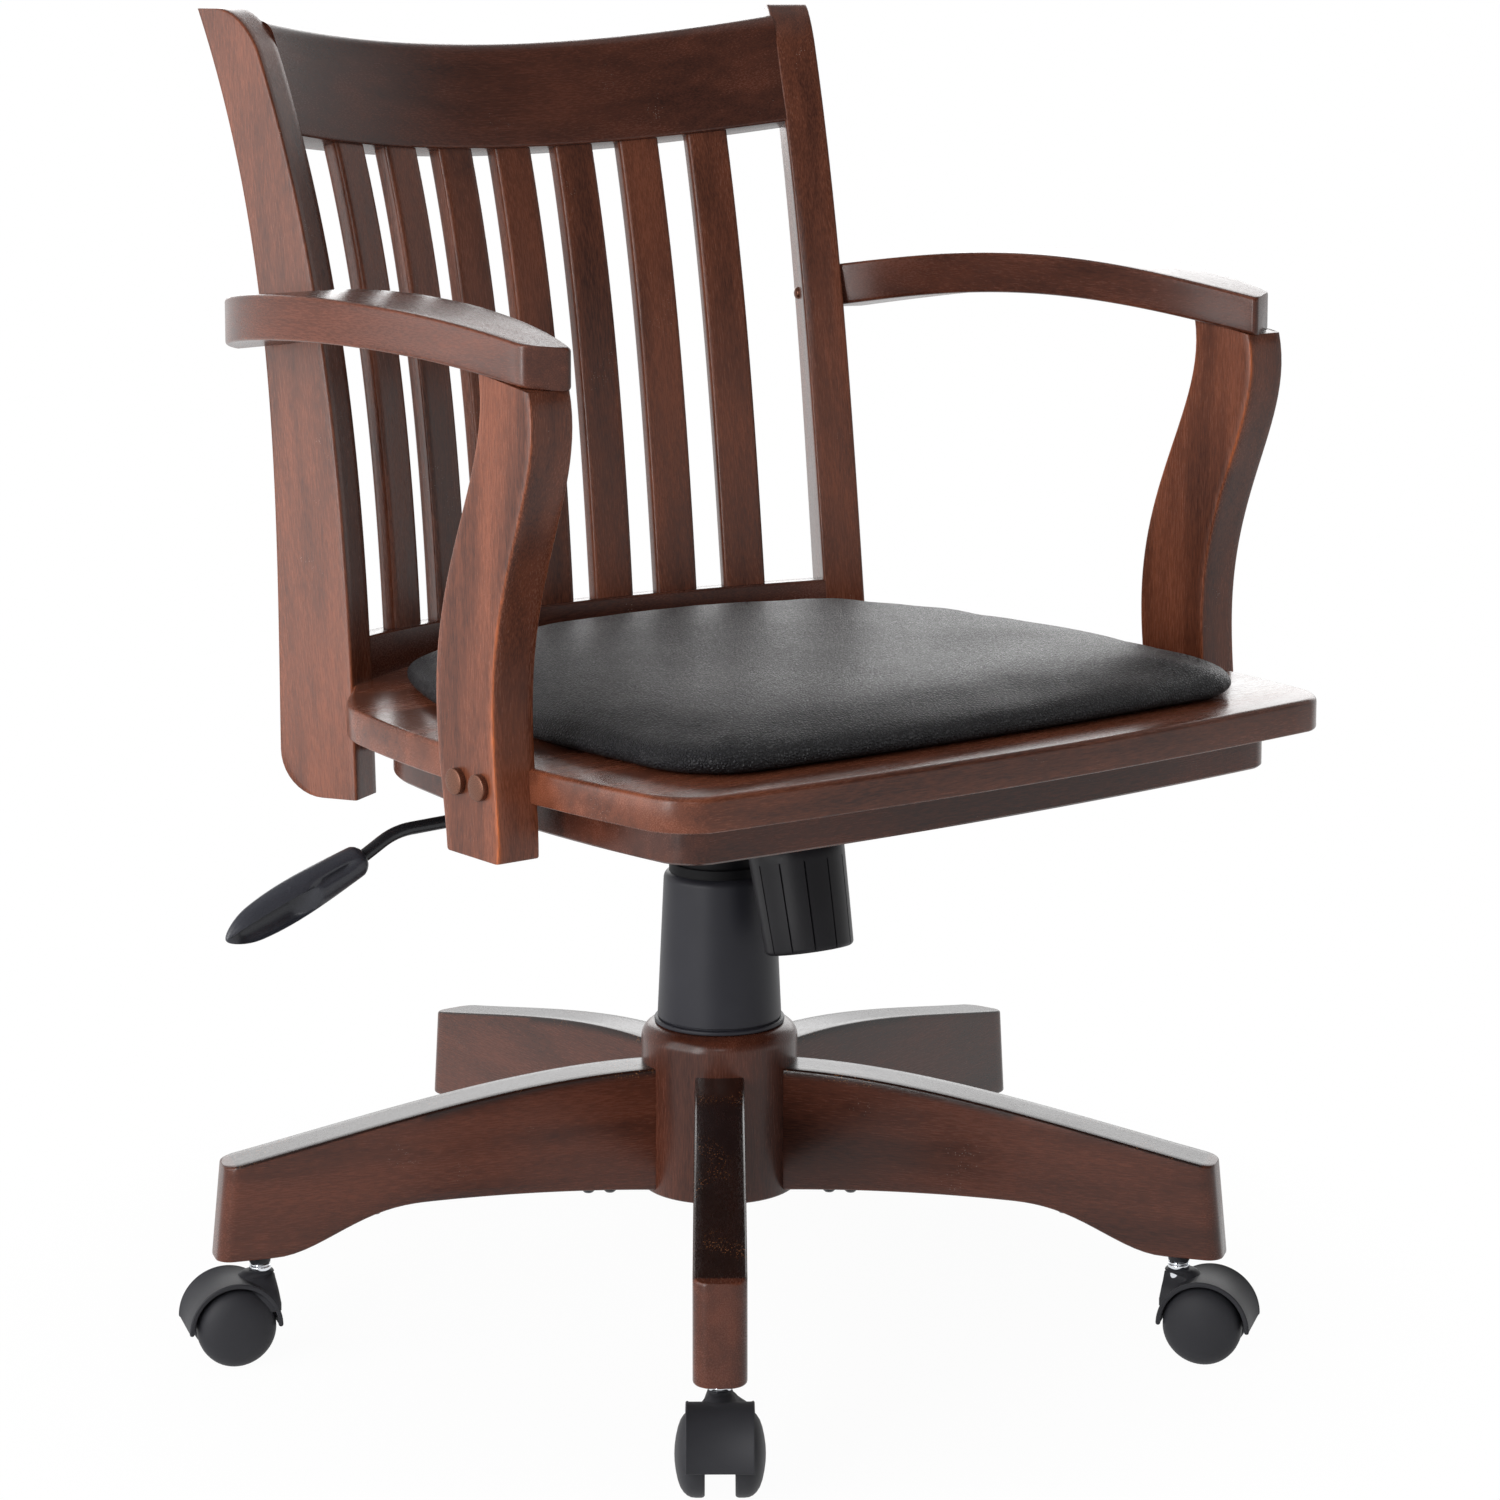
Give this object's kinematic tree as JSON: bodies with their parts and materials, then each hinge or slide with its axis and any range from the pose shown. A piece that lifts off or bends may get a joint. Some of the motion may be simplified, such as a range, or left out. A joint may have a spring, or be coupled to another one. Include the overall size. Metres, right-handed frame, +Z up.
{
  "type": "bankers swivel chair",
  "caption": "Wooden bankers swivel chair: slatted bowed back, bowed arms and padded seat on a tilting, height-adjustable column and a star base with casters",
  "frame": {"origin": "on the floor, under the middle of the chair's extent", "axes": "+Z up, the sitter faces -Y, and the height lever is on the side of -X"},
  "size_m": [0.6812, 0.6372, 0.8139],
  "materials": {
    "wood": "satin espresso stain",
    "vinyl": "grained vinyl",
    "cover": "smooth satin",
    "plastic": "satin moulded",
    "black_steel": "satin black",
    "chrome": "polished",
    "steel": "zinc plated",
    "bronze": "dark bronze"
  },
  "bodies": {
    "base": {"hub": "wood", "leg_1": "wood", "leg_2": "wood", "leg_3": "wood", "leg_4": "wood", "leg_5": "wood", "base_spider": "black_steel", "column_tube": "black_steel", "cover_lower": "cover"},
    "swivel": {"piston_rod": "chrome"},
    "cover_stage": {"cover_middle": "cover"},
    "lift_column": {"gas_cylinder": "chrome", "cover_upper": "cover", "tilt_housing": "black_steel", "pivot_axle": "steel", "tension_spring": "steel"},
    "lever": {"lever_rod": "black_steel", "lever_grip": "plastic"},
    "valve": {"valve_pin": "steel"},
    "seat": {"seat_plate": "black_steel", "seat_board": "wood", "seat_apron": "wood", "seat_cushion": "vinyl", "back_post_right": "wood", "back_post_left": "wood", "crest_rail": "wood", "lower_rail": "wood", "slat_1": "wood", "slat_2": "wood", "slat_3": "wood", "slat_4": "wood", "slat_5": "wood", "slat_6": "wood", "slat_7": "wood", "arm_right": "wood", "arm_left": "wood", "arm_post_right": "wood", "arm_post_left": "wood", "arm_bolt_front_right": "bronze", "arm_bolt_front_left": "bronze", "arm_bolt_rear_right": "bronze", "arm_bolt_rear_left": "bronze"},
    "eye_bolt": {"tension_bolt": "steel"},
    "washer": {"spring_washer": "steel"},
    "knob": {"tension_knob": "plastic"},
    "caster_fork_1": {"caster_stem_1": "chrome", "caster_hood_1": "plastic"},
    "caster_wheels_1_body": {"caster_wheels_1": "plastic"},
    "caster_fork_2": {"caster_stem_2": "chrome", "caster_hood_2": "plastic"},
    "caster_wheels_2_body": {"caster_wheels_2": "plastic"},
    "caster_fork_3": {"caster_stem_3": "chrome", "caster_hood_3": "plastic"},
    "caster_wheels_3_body": {"caster_wheels_3": "plastic"},
    "caster_fork_4": {"caster_stem_4": "chrome", "caster_hood_4": "plastic"},
    "caster_wheels_4_body": {"caster_wheels_4": "plastic"},
    "caster_fork_5": {"caster_stem_5": "chrome", "caster_hood_5": "plastic"},
    "caster_wheels_5_body": {"caster_wheels_5": "plastic"}
  },
  "joints": [
    {"name": "caster_swivel_1", "type": "hinge", "parent": "base", "child": "caster_fork_1", "pos_m": [-0.16938, -0.25455, 0.09], "axis": [0, 0, 1], "continuous": true},
    {"name": "caster_roll_1", "type": "hinge", "parent": "caster_fork_1", "child": "caster_wheels_1_body", "pos_m": [-0.17997, -0.26835, 0.024], "axis": [0.7934, -0.6088, 0], "continuous": true},
    {"name": "caster_swivel_2", "type": "hinge", "parent": "base", "child": "caster_fork_2", "pos_m": [0.17612, -0.26359, 0.09], "axis": [0, 0, 1], "continuous": true},
    {"name": "caster_roll_2", "type": "hinge", "parent": "caster_fork_2", "child": "caster_wheels_2_body", "pos_m": [0.18598, -0.27793, 0.024], "axis": [0.8241, 0.5664, 0], "continuous": true},
    {"name": "caster_swivel_3", "type": "hinge", "parent": "base", "child": "caster_fork_3", "pos_m": [0.29149, 0.0622, 0.09], "axis": [0, 0, 1], "continuous": true},
    {"name": "caster_roll_3", "type": "hinge", "parent": "caster_fork_3", "child": "caster_wheels_3_body", "pos_m": [0.30818, 0.06714, 0.024], "axis": [-0.284, 0.9588, 0], "continuous": true},
    {"name": "caster_swivel_4", "type": "hinge", "parent": "base", "child": "caster_fork_4", "pos_m": [0.0173, 0.2726, 0.09], "axis": [0, 0, 1], "continuous": true},
    {"name": "caster_roll_4", "type": "hinge", "parent": "caster_fork_4", "child": "caster_wheels_4_body", "pos_m": [0.01775, 0.28999, 0.024], "axis": [-0.9997, 0.0262, 0], "continuous": true},
    {"name": "caster_swivel_5", "type": "hinge", "parent": "base", "child": "caster_fork_5", "pos_m": [-0.26754, 0.07684, 0.09], "axis": [0, 0, 1], "continuous": true},
    {"name": "caster_roll_5", "type": "hinge", "parent": "caster_fork_5", "child": "caster_wheels_5_body", "pos_m": [-0.28394, 0.08265, 0.024], "axis": [-0.3338, -0.9426, 0], "continuous": true},
    {"name": "seat_swivel", "type": "hinge", "parent": "base", "child": "swivel", "pos_m": [0.0096, -0.0213, 0.1], "axis": [0, 0, 1], "continuous": true},
    {"name": "seat_height", "type": "slide", "parent": "swivel", "child": "lift_column", "axis": [0, 0, 1], "range_m": [0, 0.1]},
    {"name": "cover_travel", "type": "slide", "parent": "swivel", "child": "cover_stage", "axis": [0, 0, 1], "range_m": [0, 0.05]},
    {"name": "height_lever", "type": "hinge", "parent": "lift_column", "child": "lever", "pos_m": [-0.0309, -0.0133, 0.3544], "axis": [0, 1, 0], "range_deg": [0, 6], "stiffness_Nm_per_rad": 3, "springref_deg": -2.86},
    {"name": "valve_travel", "type": "slide", "parent": "lift_column", "child": "valve", "axis": [0, 0, 1], "range_m": [-0.0043, 0]},
    {"name": "seat_tilt", "type": "hinge", "parent": "lift_column", "child": "seat", "pos_m": [0.0096, 0.0147, 0.3584], "axis": [-1, 0, 0], "range_deg": [0, 12], "stiffness_Nm_per_rad": 80, "springref_deg": -11.46},
    {"name": "bolt_travel", "type": "slide", "parent": "lift_column", "child": "eye_bolt", "axis": [0, 0.2198, 0.9755], "range_m": [0, 0.0209], "deforming": ["tension_spring"]},
    {"name": "washer_travel", "type": "slide", "parent": "eye_bolt", "child": "washer", "axis": [0, 0.2198, 0.9755], "range_m": [-0.0031, 0.0031]},
    {"name": "knob_turn", "type": "hinge", "parent": "washer", "child": "knob", "pos_m": [0.0096, -0.0842, 0.3684], "axis": [0, 0.2198, 0.9755], "range_deg": [-720, 720]}
  ],
  "couplings": [
    {"joint": "cover_travel", "follows": "seat_height", "ratio": 0.5},
    {"joint": "valve_travel", "follows": "height_lever", "m_per_rad": -0.0405},
    {"joint": "bolt_travel", "follows": "seat_tilt", "m_per_rad": 0.0991},
    {"joint": "washer_travel", "follows": "knob_turn", "m_per_rad": 0.000239}
  ]
}
